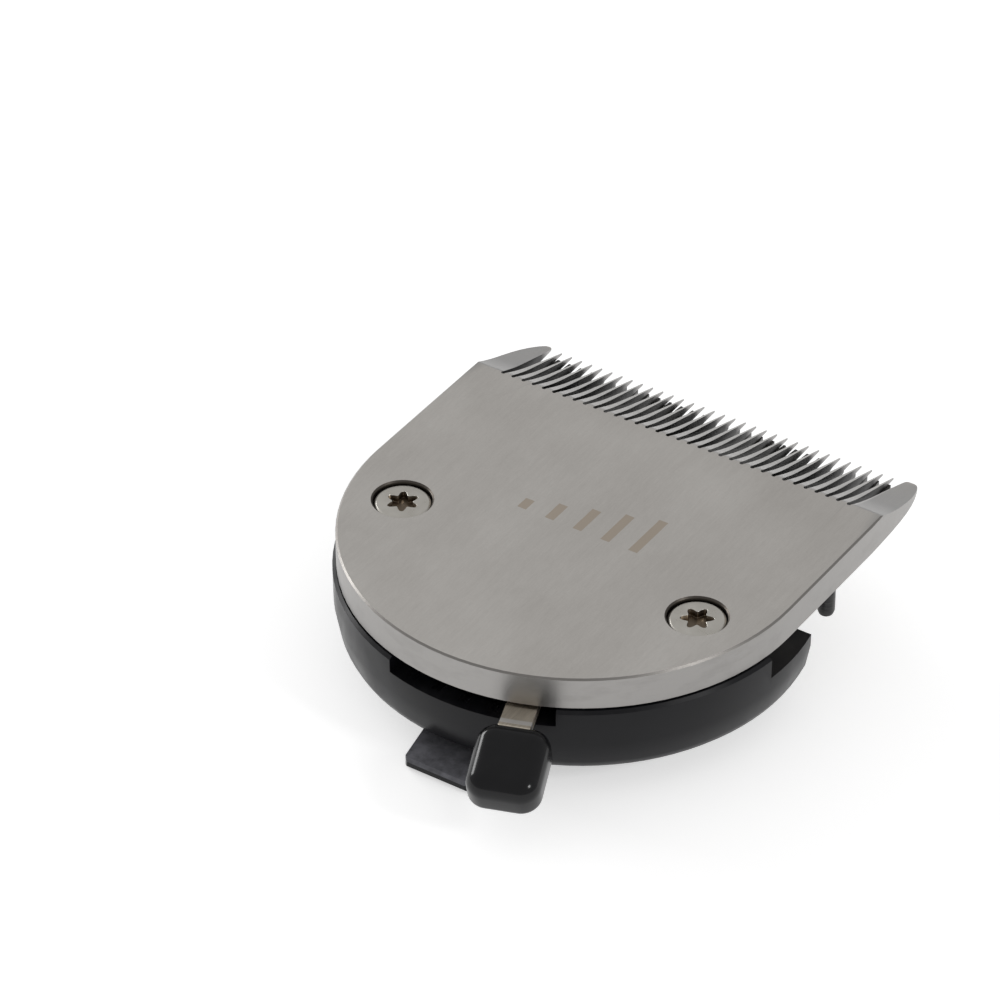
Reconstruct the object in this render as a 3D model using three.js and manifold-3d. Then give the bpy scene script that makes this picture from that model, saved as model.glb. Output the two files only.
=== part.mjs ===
// Detachable five-position pet clipper blade set.
// Millimetres, +Z up. Model axes: +Y towards the teeth, +X to the right seen from behind.
// While the pieces are drawn, x = y = 0 is the axis that the adjusting lever turns about and
// z = 0 is the rubbing plane, where the comb blade and the cutter blade touch. The last lines
// stand the finished set on its lowest feet, centred over the origin.
import * as THREE from 'three';
import { mergeVertices } from 'three/addons/utils/BufferGeometryUtils.js';
import Module from 'manifold-3d';

const wasm = await Module();
wasm.setup();

// ---- Driving dimensions ----------------------------------------------------------------
const HALF_WIDTH = 23;              // of the comb, and the radius of its round rear
const CARRIER_R = 23.35;            // the carrier stands a little proud of the comb
const COMB_THICK = 3.35;
const TEETH = 33;                   // comb teeth between the two corner lobes
const PITCH = 1.1865;
const ROOT_Y = 16.85;               // where the comb slots begin
const TIP_Y = 26.78;                // comb tooth tips
const LOBE_Y = 27.1;                // front of the corner lobes
const LOBE_INNER = 20.2;            // inner edges of the lobes, before the tooth row's shift
const BEVEL_Y = 17.1;               // where the hollow-ground bevel begins
const GRIND_RADIUS = 29;
const GRIND_ANGLE = THREE.MathUtils.degToRad(25);
const FLAT_ANGLE = THREE.MathUtils.degToRad(17);      // the hollow ends here and the grind runs on straight
const EDGE_BREAK = 0.18;            // chamfer round the comb's upper edge

const SCREW_X = 16.4;
const SCREW_Y = -5.5;
const RECESS_R = 2.88;
const SCREW_HEAD_R = 2.72;
const SOCKET_R = 1.6;                // tips of the six-lobed socket
const SCREW_SHANK_R = 1.25;
const SCREW_SUNK = 0.25;            // head top below the blade's face

const CUTTER_TEETH = 30;
const CUTTER_PITCH = 1.305;
const CUTTER_THICK = 1.67;
const CUTTER_TIP_Y = 25.9;          // nearly a millimetre behind the comb's tips
const CUTTER_ROOT_Y = 18.2;
const CUTTER_REAR_Y = 8.7;
const CUTTER_HALF_WIDTH = 19.3;

const RIM_TOP = -0.25;
const FLOOR_TOP = -6.15;
const FLOOR_BOTTOM = -7.65;
const WALL = 1.8;
const DISC_FRONT_Y = 4.6;           // the round wall stops here, ahead of the middle
const NOTCH_Y = -3.1;               // the wall is cut lower ahead of here
const NOTCH_FLOOR = -2.65;
const FOOT_BOTTOM = -10.8;          // hooks and heels that go into the clipper's head
const SLOT_FLOOR = -1.95;           // bottom of the lever's slot in the rim
const SLOT_LEFT = -16;              // degrees from straight back, seen from above
const SLOT_RIGHT = 27.4;
const GROOVE_RADIUS = 0.55;         // detent grooves, blind from the inside of the rim
const GROOVE_INNER = 20.5;
const GROOVE_OUTER = 22.35;
const BUMP_REACH = 21.7;            // the lever's bump, from the pivot

const LEVER_ANGLE = 19.5;           // degrees to the right of straight back, closest cut
const LEVER_SWING = 31;
const DETENTS = 5;
const LEVER_TOP = -0.25;
const LEVER_THICK = 0.9;
const STRIP_WIDTH = 3;
const HUB_R = 6;
const BEND_RADIUS = 25.9;           // distance from the pivot to the bend in the lever
const BEND_ANGLE = 20;
const CAP_WIDTH = 7.1;
const CAP_SHIFT = 0.2;               // the cap sits a little off the strip's middle
const CAP_LENGTH = 7.8;
const CAP_THICK = 4.2;
const CAP_TOP = 0.55;               // above the rubbing plane where the cap begins
const CAP_ROUND = 1.3;
const CAP_CORNER = 1;               // extra corner radius seen from above
const CAM_THROW = 4.3;              // cam pin's distance from the pivot
const CAM_PIN_R = 0.8;
const PIVOT_R = 1.5;

const SLED_TOP = -1.75;
const SLED_BOTTOM = -3.05;
const SLED_HALF_WIDTH = 12.2;
const ROD_Y = 7.2;
const ROD_Z = -4.3;
const ROD_R = 1;
const SPRING_WIRE_R = 0.3;
const SPRING_COIL_R = 1.38;
const SPRING_TURNS = 3;
const SPRING_X = 8.5;               // middle of each coil

const LATCH_HALF_WIDTH = 3.4;       // at the hinge
const LATCH_FLARE = 4.5;            // widest half width, where it leaves the carrier
const LATCH_TIP_HALF = 3.7;
const LATCH_TOP = -9.55;
const LATCH_THICK = 1.1;
const LATCH_TIP_Y = -24.5;
const LATCH_HINGE_Y = -14.3;
const LATCH_HINGE_Z = -8.6;

const PIN_X = 21.6;                 // locating pins under the comb's side edges
const PIN_Y = 9.5;
const PIN_R = 0.85;
const PIN_BOTTOM = -4.05;

const FIT = 0.05;                   // gap between pieces that touch

const COLOURS = {
  steel: { color: 0x9b9893, roughness: 0.42, metalness: 1 },
  darkSteel: { color: 0x3a3a3a, roughness: 0.45, metalness: 1 },
  nickel: { color: 0xd8d2c4, roughness: 0.25, metalness: 1 },
  brass: { color: 0xb5924c, roughness: 0.4, metalness: 1 },
  plastic: { color: 0x121213, roughness: 0.45, metalness: 0 },
  vinyl: { color: 0x0a0a0b, roughness: 0.18, metalness: 0 },
  nylon: { color: 0xd9d6cc, roughness: 0.5, metalness: 0 },
};

// ---- Solid helpers ---------------------------------------------------------------------
function solid(geometry) {
  const plain = geometry.clone();
  plain.deleteAttribute('normal');
  plain.deleteAttribute('uv');
  const merged = mergeVertices(plain, 1e-5);
  return new wasm.Manifold(new wasm.Mesh({
    numProp: 3,
    vertProperties: new Float32Array(merged.attributes.position.array),
    triVerts: new Uint32Array(merged.index.array),
  }));
}

function geometryOf(manifold) {
  const mesh = manifold.getMesh();
  const geometry = new THREE.BufferGeometry();
  geometry.setAttribute('position', new THREE.BufferAttribute(mesh.vertProperties, 3));
  geometry.setIndex(new THREE.BufferAttribute(mesh.triVerts, 1));
  geometry.computeVertexNormals();
  return geometry;
}

function joined(parts) {
  return parts.reduce((whole, part) => whole.add(part));
}

function cut(whole, tools) {
  return tools.reduce((left, tool) => left.subtract(tool), whole);
}

function box(x0, x1, y0, y1, z0, z1) {
  const geometry = new THREE.BoxGeometry(x1 - x0, y1 - y0, z1 - z0);
  geometry.translate((x0 + x1) / 2, (y0 + y1) / 2, (z0 + z1) / 2);
  return solid(geometry);
}

function prism(shape, z0, z1, curveSegments = 12) {
  const geometry = new THREE.ExtrudeGeometry(shape, {
    depth: z1 - z0, bevelEnabled: false, curveSegments,
  });
  geometry.translate(0, 0, z0);
  return solid(geometry);
}

function polygon(points) {
  return new THREE.Shape(points.map(([x, y]) => new THREE.Vector2(x, y)));
}

// A turned piece: [radius, z] pairs that start and end on the axis, or a closed loop.
function turned(profile, x = 0, y = 0, segments = 32) {
  const points = profile.map(([r, z]) => new THREE.Vector2(r, z));
  const geometry = new THREE.LatheGeometry(points, segments);
  geometry.rotateX(Math.PI / 2);
  geometry.translate(x, y, 0);
  const manifold = solid(geometry);
  return manifold.volume() < 0 ? solid(flipped(geometry)) : manifold;
}

function flipped(geometry) {
  const index = geometry.index.array;
  for (let i = 0; i < index.length; i += 3) {
    [index[i], index[i + 1]] = [index[i + 1], index[i]];
  }
  return geometry;
}

function post(x, y, r, z0, z1, segments = 32) {
  const geometry = new THREE.CylinderGeometry(r, r, z1 - z0, segments);
  geometry.rotateX(Math.PI / 2);
  geometry.translate(x, y, (z0 + z1) / 2);
  return solid(geometry);
}

function crossRod(x0, x1, y, z, r, segments = 24) {
  const geometry = new THREE.CylinderGeometry(r, r, x1 - x0, segments);
  geometry.rotateZ(Math.PI / 2);
  geometry.translate((x0 + x1) / 2, y, z);
  return solid(geometry);
}

// An upright slab in the Y-Z plane, given by its outline, spanning x0 to x1.
function sideProfile(points, x0, x1) {
  const geometry = new THREE.ExtrudeGeometry(polygon(points), {
    depth: x1 - x0, bevelEnabled: false,
  });
  geometry.applyMatrix4(new THREE.Matrix4().makeBasis(
    new THREE.Vector3(0, 1, 0), new THREE.Vector3(0, 0, 1), new THREE.Vector3(1, 0, 0),
  ));
  geometry.translate(x0, 0, 0);
  return solid(geometry);
}

// Point at a distance from the pivot, the angle counted from straight back towards +X.
function swept(radius, degrees) {
  const angle = THREE.MathUtils.degToRad(degrees);
  return [radius * Math.sin(angle), -radius * Math.cos(angle)];
}

function ringSector(r0, r1, fromDegrees, toDegrees, z0, z1, steps = 24) {
  const turn = (i) => fromDegrees + ((toDegrees - fromDegrees) * i) / steps;
  const outer = Array.from({ length: steps + 1 }, (_, i) => swept(r1, turn(i)));
  const inner = Array.from({ length: steps + 1 }, (_, i) => swept(r0, turn(steps - i)));
  return prism(polygon([...outer, ...inner]), z0, z1);
}

function roundedSlot(x0, x1, y0, y1, z0, z1) {
  const r = Math.min(x1 - x0, y1 - y0) / 2;
  const shape = new THREE.Shape();
  if (x1 - x0 > y1 - y0) {
    shape.absarc(x0 + r, (y0 + y1) / 2, r, Math.PI / 2, 1.5 * Math.PI);
    shape.absarc(x1 - r, (y0 + y1) / 2, r, -Math.PI / 2, Math.PI / 2);
  } else {
    shape.absarc((x0 + x1) / 2, y0 + r, r, Math.PI, 2 * Math.PI);
    shape.absarc((x0 + x1) / 2, y1 - r, r, 0, Math.PI);
  }
  return prism(shape, z0, z1, 8);
}

// ---- Comb blade ------------------------------------------------------------------------
// The teeth side of a comb or cutter outline, from the right-hand slot to the left-hand one.
function toothLine({ slots, pitch, shift, rootY, shoulderY, tipY, rootHalf, mouthHalf, tipHalf }) {
  const points = [];
  for (let slot = 0; slot < slots; slot += 1) {
    const x = ((slots - 1) / 2 - slot) * pitch + shift;
    points.push([x + mouthHalf, shoulderY]);
    for (let step = 0; step <= 4; step += 1) {
      const angle = (Math.PI * step) / 4;
      points.push([x + rootHalf * Math.cos(angle), rootY + rootHalf * (1 - Math.sin(angle))]);
    }
    points.push([x - mouthHalf, shoulderY]);
    if (slot < slots - 1) {
      const tooth = x - pitch / 2;
      points.push([tooth + tipHalf, tipY], [tooth - tipHalf, tipY]);
    }
  }
  return points;
}

const COMB_TEETH = {
  slots: TEETH + 1,
  pitch: PITCH,
  shift: -0.2,
  rootY: ROOT_Y,
  shoulderY: 24.6,
  tipY: TIP_Y,
  rootHalf: 0.23,
  mouthHalf: 0.5,
  tipHalf: 0.04,
};

// Right-hand corner lobe, from the straight side round to its inner edge beside the end slot.
function lobePoints(inner) {
  const outline = new THREE.Path();
  outline.moveTo(HALF_WIDTH, 15.5);
  outline.bezierCurveTo(22.9, 20, 22.7, 23.2, 22.15, 25);
  outline.bezierCurveTo(21.85, 26, 21.5, LOBE_Y, 20.95, LOBE_Y);
  outline.lineTo(inner + 0.45, LOBE_Y);
  outline.bezierCurveTo(inner + 0.2, LOBE_Y, inner, LOBE_Y - 0.2, inner, LOBE_Y - 0.5);
  return outline.getPoints(6).map((point) => [point.x, point.y]);
}

function combOutline() {
  const right = lobePoints(LOBE_INNER + COMB_TEETH.shift);
  const left = lobePoints(LOBE_INNER - COMB_TEETH.shift).map(([x, y]) => [-x, y]).reverse();
  const rear = Array.from({ length: 49 }, (_, i) => swept(HALF_WIDTH, -90 + (180 * i) / 48));
  return polygon([...right, ...toothLine(COMB_TEETH), ...left, ...rear]);
}

// The hollow part of the grind, from its front end back to the flat top, as [y, z].
function bevelPoints(steps) {
  return Array.from({ length: steps + 1 }, (_, i) => {
    const angle = FLAT_ANGLE + ((GRIND_ANGLE - FLAT_ANGLE) * i) / steps;
    return [
      BEVEL_Y + GRIND_RADIUS * (Math.sin(GRIND_ANGLE) - Math.sin(angle)),
      COMB_THICK - GRIND_RADIUS * (Math.cos(angle) - Math.cos(GRIND_ANGLE)),
    ];
  });
}

function screwRecess(x) {
  const seat = COMB_THICK - SCREW_SUNK - 1.15;
  return turned([
    [0, -1], [1.45, -1], [1.45, seat], [RECESS_R - 0.05, seat],
    [RECESS_R, COMB_THICK - 0.15], [RECESS_R + 0.2, COMB_THICK + 0.05], [RECESS_R + 0.2, 5], [0, 5],
  ], x, SCREW_Y, 40);
}

// The plate seen from the side: flat behind, ground thin towards the teeth.
function groundSide() {
  const rear = -HALF_WIDTH - 1;
  const tips = [[TIP_Y + 0.1, 0], [LOBE_Y, 0.04], [LOBE_Y, 0.1], [TIP_Y, 0.15]];
  return sideProfile([[rear, 0], ...tips, ...bevelPoints(6), [rear, COMB_THICK]], rear, -rear);
}

// The round rear with its upper edge broken, as a disc that reaches past the lower face.
function easedRear() {
  const inset = HALF_WIDTH - EDGE_BREAK;
  return turned([
    [0, -1], [HALF_WIDTH, -1], [HALF_WIDTH, COMB_THICK - EDGE_BREAK], [inset, COMB_THICK],
    [0, COMB_THICK],
  ], 0, 0, 96);
}

// The straight-sided front half with both upper side edges broken.
function easedFront() {
  const w = HALF_WIDTH;
  const section = polygon([
    [-w, -1], [w, -1], [w, COMB_THICK - EDGE_BREAK], [w - EDGE_BREAK, COMB_THICK],
    [-w + EDGE_BREAK, COMB_THICK], [-w, COMB_THICK - EDGE_BREAK],
  ]);
  const geometry = new THREE.ExtrudeGeometry(section, { depth: LOBE_Y + 1, bevelEnabled: false });
  geometry.rotateX(Math.PI / 2);
  geometry.translate(0, LOBE_Y + 1, 0);
  return solid(geometry);
}

function combBlade() {
  const plate = prism(combOutline(), 0, COMB_THICK, 4).intersect(groundSide());
  const relief = box(-20.2, 20.2, 10.6, 15.2, -1, 0.3);
  const pinHoles = [-PIN_X, PIN_X].map((x) => post(x, PIN_Y, PIN_R + FIT, -1, 1.25, 20));
  return cut(plate.intersect(joined([easedRear(), easedFront()])), [
    relief, screwRecess(-SCREW_X), screwRecess(SCREW_X), ...pinHoles,
  ]);
}

// ---- Cutter blade and what rides with it -----------------------------------------------
const RIVETS = [[-3.4, 11.6], [3.4, 11.6]];
const RIVET_R = 0.8;

const CUTTER_TEETH_LINE = {
  slots: CUTTER_TEETH - 1,
  pitch: CUTTER_PITCH,
  shift: 0,
  rootY: CUTTER_ROOT_Y,
  shoulderY: CUTTER_TIP_Y - 0.8,
  tipY: CUTTER_TIP_Y,
  rootHalf: 0.24,
  mouthHalf: 0.42,
  tipHalf: 0.14,
};

function cutterBlade() {
  const w = CUTTER_HALF_WIDTH;
  const outline = polygon([
    [w - 2, CUTTER_REAR_Y], [w, CUTTER_REAR_Y + 2], [w, CUTTER_TIP_Y - 0.9], [w - 0.25, CUTTER_TIP_Y],
    [w - 0.55, CUTTER_TIP_Y], ...toothLine(CUTTER_TEETH_LINE),
    [-w + 0.55, CUTTER_TIP_Y], [-w + 0.25, CUTTER_TIP_Y], [-w, CUTTER_TIP_Y - 0.9],
    [-w, CUTTER_REAR_Y + 2], [-w + 2, CUTTER_REAR_Y],
  ]);
  const top = -FIT;
  const bottom = top - CUTTER_THICK;
  const section = sideProfile([
    [0, bottom], [17, bottom], [CUTTER_TIP_Y + 0.2, top - 0.55], [CUTTER_TIP_Y + 0.2, top], [0, top],
  ], -w - 1, w + 1);
  const holes = RIVETS.map(([x, y]) => turned([
    [0, -3], [RIVET_R + FIT, -3], [RIVET_R + FIT, top - 0.75],
    [1.5 + FIT, top - 0.1], [1.5 + FIT, 1], [0, 1],
  ], x, y, 20));
  return cut(prism(outline, bottom, top, 4).intersect(section), holes);
}

const BLOCK_TOP = -FIT - CUTTER_THICK - FIT;
const BLOCK_BOTTOM = -5.5;
const BLOCK_REAR_Y = 5.8;

function blockRivet([x, y]) {
  const top = -FIT;
  return turned([
    [0, BLOCK_BOTTOM + 1.2], [RIVET_R, BLOCK_BOTTOM + 1.2], [RIVET_R, top - 0.75],
    [1.5, top - 0.15], [1.42, top - 0.1], [0, top - 0.1],
  ], x, y, 20);
}

// Nylon fork on the cutter: the clipper's crank pin runs in its slot, the guide rod in its bore.
function driveBlock() {
  const body = polygon([
    [-4.6, BLOCK_REAR_Y + 0.6], [-4, BLOCK_REAR_Y], [4, BLOCK_REAR_Y], [4.6, BLOCK_REAR_Y + 0.6],
    [4.6, 14.2], [3.8, 15], [-3.8, 15], [-4.6, 14.2],
  ]);
  const lowRear = box(-6, 6, 0, CUTTER_REAR_Y - 0.25, BLOCK_TOP - 0.7, 1);
  const pinSlot = joined([roundedSlot(-1.55, 1.55, 9.2, 13.5, -8, BLOCK_TOP - 0.9),
    box(-1.55, 1.55, 12, 16, -8, BLOCK_TOP - 0.9)]);
  const funnel = polygon([[-1.5, 13.6], [1.5, 13.6], [2.5, 15.2], [-2.5, 15.2]]);
  const leadIn = prism(funnel, -8, BLOCK_TOP - 0.9);
  const bore = crossRod(-6, 6, ROD_Y, ROD_Z, ROD_R + FIT, 24);
  const rivetHoles = RIVETS.map(([x, y]) => post(x, y, RIVET_R + FIT, BLOCK_BOTTOM + 1.1, 1, 20));
  return cut(prism(body, BLOCK_BOTTOM, BLOCK_TOP), [lowRear, pinSlot, leadIn, bore, ...rivetHoles]);
}

const PAD_Y = 13.4;

function springPad(side) {
  const x = side * (SPRING_X - 0.6);
  const top = BLOCK_TOP;
  return cut(box(x - 1.9, x + 1.9, PAD_Y - 1.3, PAD_Y + 1.3, top - 0.75, top), [
    box(x - 3, x + 3, PAD_Y + 0.7, PAD_Y + 2, top - 2, top - 0.45),
  ]);
}

// ---- Sled: moves the cutter back and forth when the lever turns -------------------------
function camPinPlace() {
  const angle = THREE.MathUtils.degToRad(LEVER_SWING / 2);
  return [CAM_THROW * Math.cos(angle), CAM_THROW * Math.sin(angle)];
}

const SLED_TRAVEL = 2 * camPinPlace()[1];

function cutterSled() {
  const camY = camPinPlace()[1];
  const halfSlot = CAM_PIN_R + FIT;
  const plate = box(-SLED_HALF_WIDTH, SLED_HALF_WIDTH, -6, 5.3, SLED_BOTTOM, SLED_TOP);
  const pieces = [plate];
  for (const side of [-1, 1]) {
    const ordered = (a, b) => [Math.min(side * a, side * b), Math.max(side * a, side * b)];
    pieces.push(box(...ordered(10.1, SLED_HALF_WIDTH), 5, 9.5, SLED_BOTTOM, SLED_TOP));
    pieces.push(box(...ordered(5.9, 7), 3.6, 8.7, -5.6, SLED_TOP));
  }
  return cut(joined(pieces), [
    roundedSlot(3.1, 5.4, camY - halfSlot, camY + halfSlot, -4, 0),
    roundedSlot(-PIVOT_R - 0.25, PIVOT_R + 0.25, -PIVOT_R - 0.25, PIVOT_R + 0.25 + SLED_TRAVEL, -4, 0),
    crossRod(-8, 8, ROD_Y, ROD_Z, ROD_R + FIT, 24),
    box(-9, -3.5, -4.6, -2.4, -4, 0), box(3.5, 9, -4.6, -2.4, -4, 0),
  ]);
}

function guideRod() {
  return crossRod(-9.7, 9.7, ROD_Y, ROD_Z, ROD_R, 24);
}

// Torsion spring on the guide rod: one leg under the sled, the other lifting the cutter.
function springPath(side) {
  const span = 2.1;
  const points = [
    new THREE.Vector3(0, 1.6, -3.42), new THREE.Vector3(0, 3.4, -3.42), new THREE.Vector3(0, 5.2, -3.42),
  ];
  const stepsPerTurn = 10;
  const steps = SPRING_TURNS * stepsPerTurn;
  for (let i = 0; i <= steps; i += 1) {
    const angle = (2 * Math.PI * i) / stepsPerTurn;
    points.push(new THREE.Vector3(
      (span * i) / steps,
      ROD_Y + SPRING_COIL_R * Math.sin(angle),
      ROD_Z + SPRING_COIL_R * Math.cos(angle),
    ));
  }
  points.push(new THREE.Vector3(span, 10.2, -2.92), new THREE.Vector3(span, 12.4, -2.92));
  points.push(new THREE.Vector3(span, 14, -2.92));
  return points.map((p) => new THREE.Vector3(side * (SPRING_X + span / 2 - p.x), p.y, p.z));
}

function cutterSpring(side) {
  const path = new THREE.CatmullRomCurve3(springPath(side), false, 'centripetal');
  const wire = new THREE.Shape();
  wire.absarc(0, 0, SPRING_WIRE_R, 0, 2 * Math.PI);
  const geometry = new THREE.ExtrudeGeometry(wire, { steps: 70, extrudePath: path, curveSegments: 4 });
  return solid(geometry);
}

// ---- Adjusting lever -------------------------------------------------------------------
// Drawn pointing straight back, then turned to its resting place.
function leverTurned(manifold) {
  return manifold.rotate([0, 0, LEVER_ANGLE]);
}

function tipped(geometry, top) {
  geometry.rotateX(THREE.MathUtils.degToRad(BEND_ANGLE));
  geometry.translate(0, -BEND_RADIUS, top);
  return solid(geometry);
}

function stripTip(width, length, thick, lift) {
  const geometry = new THREE.BoxGeometry(width, length, thick);
  geometry.translate(0, -length / 2, lift - thick / 2);
  return tipped(geometry, LEVER_TOP);
}

function adjustLever() {
  const low = LEVER_TOP - LEVER_THICK;
  const half = STRIP_WIDTH / 2;
  const hub = post(0, 0, HUB_R, low, LEVER_TOP, 48);
  const strip = box(-half, half, -BEND_RADIUS - 0.08, -4, low, LEVER_TOP);
  const neck = prism(polygon([[-half, -9.5], [half, -9.5], [4.2, -3.5], [-4.2, -3.5]]), low, LEVER_TOP);
  const bump = turned([
    [0, SLOT_FLOOR + 0.06], [0.3, SLOT_FLOOR + 0.14], [0.55, low - 0.3], [0.7, low + 0.1], [0, low + 0.1],
  ], 0, -BUMP_REACH, 16);
  const pointer = stripTip(STRIP_WIDTH, 5.6, LEVER_THICK, 0);
  const [camX, camY] = camPinPlace();
  const bored = leverTurned(joined([hub, strip, neck, bump, pointer]));
  return cut(bored, [
    post(0, 0, PIVOT_R + FIT, -3, 1, 32),
    post(camX, camY, CAM_PIN_R + 0.02, -3, 1, 20),
    post(-3.9, 1.6, 1, -3, 1, 20),
  ]);
}

// A pillow-edged block lying on its back face, its near end at the origin.
function capBlank(width, length, thick, round) {
  const r = CAP_CORNER;
  const x = width / 2 - round - r;
  const far = -length + round + r;
  const near = -round - r;
  const shape = new THREE.Shape();
  shape.absarc(x, near, r, 0, Math.PI / 2);
  shape.absarc(-x, near, r, Math.PI / 2, Math.PI);
  shape.absarc(-x, far, r, Math.PI, 1.5 * Math.PI);
  shape.absarc(x, far, r, 1.5 * Math.PI, 2 * Math.PI);
  const geometry = new THREE.ExtrudeGeometry(shape, {
    depth: thick - 2 * round,
    bevelThickness: round,
    bevelSize: round,
    bevelSegments: 3,
    curveSegments: 3,
  });
  geometry.translate(CAP_SHIFT, 0, -thick + round);
  return geometry;
}

function leverCap() {
  const shell = tipped(capBlank(CAP_WIDTH, CAP_LENGTH, CAP_THICK, CAP_ROUND), CAP_TOP);
  const gap = 0.1;
  const pocket = stripTip(STRIP_WIDTH + 2 * gap, 5.6 + gap, LEVER_THICK + 2 * gap, gap);
  const half = STRIP_WIDTH / 2 + gap;
  const mouth = box(-half, half, -BEND_RADIUS - 0.9, -BEND_RADIUS + 1,
    LEVER_TOP - LEVER_THICK - 0.4, LEVER_TOP + gap);
  return leverTurned(cut(shell, [pocket, mouth]));
}

function camPin() {
  const [x, y] = camPinPlace();
  return turned([
    [0, SLED_BOTTOM + 0.1], [CAM_PIN_R - 0.15, SLED_BOTTOM + 0.1], [CAM_PIN_R, SLED_BOTTOM + 0.25],
    [CAM_PIN_R, LEVER_TOP + 0.02], [0, LEVER_TOP + 0.02],
  ], x, y, 20);
}

// ---- Fixed small pieces ----------------------------------------------------------------
function sixLobe(radius) {
  const points = Array.from({ length: 48 }, (_, i) => {
    const angle = (2 * Math.PI * i) / 48;
    const r = radius * (0.8 + 0.2 * Math.cos(6 * angle));
    return [r * Math.cos(angle), r * Math.sin(angle)];
  });
  return polygon(points);
}

function bladeScrew(x, turn) {
  const top = COMB_THICK - SCREW_SUNK;
  const under = top - 1.1;
  const body = turned([
    [0, -5.2], [SCREW_SHANK_R - 0.3, -5.2], [SCREW_SHANK_R, -4.9], [SCREW_SHANK_R, under],
    [SCREW_HEAD_R, under], [SCREW_HEAD_R, top - 0.18], [SCREW_HEAD_R - 0.2, top - 0.04],
    [SCREW_HEAD_R - 0.8, top], [0, top],
  ], 0, 0, 36);
  const socket = prism(sixLobe(SOCKET_R), top - 0.75, top + 1).rotate([0, 0, turn]);
  return body.subtract(socket).translate([x, SCREW_Y, 0]);
}

function threadInsert(x) {
  return turned([
    [SCREW_SHANK_R + FIT, -5.6], [1.85, -5.6], [2, -5.3], [2, -3.4], [1.8, -3.2], [1.8, -2.8], [2, -2.6],
    [2, -0.3], [SCREW_SHANK_R + FIT, -0.3], [SCREW_SHANK_R + FIT, -5.6],
  ], x, SCREW_Y, 24);
}

function pivotPin() {
  return turned([
    [0, -6], [1, -6], [1, -3.55], [2.2, -3.55], [2.2, -3.25], [PIVOT_R, -3.25],
    [PIVOT_R, -0.25], [PIVOT_R - 0.15, -0.1], [0, -0.1],
  ], 0, 0, 32);
}

function pivotWasher() {
  return turned([
    [PIVOT_R + FIT, -1.62], [3.1, -1.62], [3.1, -1.22], [PIVOT_R + FIT, -1.22], [PIVOT_R + FIT, -1.62],
  ], 0, 0, 32);
}

function locatingPin(x) {
  return turned([
    [0, PIN_BOTTOM], [0.4, PIN_BOTTOM + 0.08], [0.7, PIN_BOTTOM + 0.3], [PIN_R, PIN_BOTTOM + 0.75],
    [PIN_R, 1.05], [PIN_R - 0.15, 1.2], [0, 1.2],
  ], x, PIN_Y, 20);
}

// ---- Carrier ---------------------------------------------------------------------------
function carrierCup() {
  const inner = HALF_WIDTH - WALL;
  return turned([
    [0, FLOOR_BOTTOM], [21.6, FLOOR_BOTTOM], [22.15, FLOOR_BOTTOM + 0.15], [22.55, FLOOR_BOTTOM + 0.55],
    [22.85, FLOOR_BOTTOM + 1.2], [CARRIER_R - 0.05, -4], [CARRIER_R, RIM_TOP - 0.3],
    [CARRIER_R - 0.3, RIM_TOP], [inner, RIM_TOP], [inner, FLOOR_TOP], [0, FLOOR_TOP],
  ], 0, 0, 96);
}

function detentAngle(step) {
  return LEVER_ANGLE - (LEVER_SWING * step) / (DETENTS - 1);
}

function detentGroove(step) {
  const length = GROOVE_OUTER - GROOVE_INNER;
  const geometry = new THREE.CylinderGeometry(GROOVE_RADIUS, GROOVE_RADIUS, length, 12);
  geometry.translate(0, -GROOVE_INNER - length / 2, 0);
  geometry.rotateZ(THREE.MathUtils.degToRad(detentAngle(step)));
  geometry.translate(0, 0, SLOT_FLOOR + 0.25);
  return solid(geometry);
}

function sideOf(side, a, b) {
  return side < 0 ? [-b, -a] : [a, b];
}

// One half's rails, boss, rib, front arm, hook and heel.
function carrierSide(side) {
  const arm = box(...sideOf(side, 8.6, 13.4), 3, 12, FLOOR_BOTTOM, FLOOR_TOP + 0.1);
  const rail = box(...sideOf(side, 10.3, 12.3), -8.6, 10, FLOOR_TOP - 0.1, SLED_BOTTOM - FIT);
  const fence = box(...sideOf(side, 12.3, 13.4), -8.6, 10, FLOOR_TOP - 0.1, SLED_TOP - 0.2);
  const fenceGap = box(...sideOf(side, 12, SLED_HALF_WIDTH + FIT), -12, 12, SLED_BOTTOM - FIT, 0);
  const boss = post(side * SCREW_X, SCREW_Y, 3.3, FLOOR_TOP - 0.1, -FIT, 32);
  const rib = box(...sideOf(side, SCREW_X, HALF_WIDTH - WALL + 0.2), SCREW_Y - 0.6, SCREW_Y + 0.6,
    FLOOR_TOP - 0.1, -1.2);
  const hook = sideProfile([
    [9.2, FLOOR_BOTTOM + 0.1], [9.2, FOOT_BOTTOM + 0.5], [9.7, FOOT_BOTTOM], [12.6, FOOT_BOTTOM],
    [13.4, FOOT_BOTTOM + 0.8], [13.4, FOOT_BOTTOM + 1.3], [12, FOOT_BOTTOM + 1.8], [12, FLOOR_BOTTOM + 0.1],
  ], ...sideOf(side, 9, 13));
  const heel = sideProfile([
    [-12.5, FLOOR_BOTTOM + 0.1], [-12.5, FOOT_BOTTOM + 0.8], [-11.9, FOOT_BOTTOM], [-10.6, FOOT_BOTTOM],
    [-10, FOOT_BOTTOM + 0.8], [-10, FLOOR_BOTTOM + 0.1],
  ], ...sideOf(side, 5.2, 12));
  const cheek = sideProfile([
    [-16, FLOOR_BOTTOM + 0.1], [-15.6, -9.5], [-13.2, -9.5], [-12.4, FLOOR_BOTTOM + 0.1],
  ], ...sideOf(side, LATCH_HALF_WIDTH + 0.3, LATCH_HALF_WIDTH + 1.5));
  return joined([arm, rail, fence.subtract(fenceGap), boss, rib, hook, heel, cheek]);
}

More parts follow.
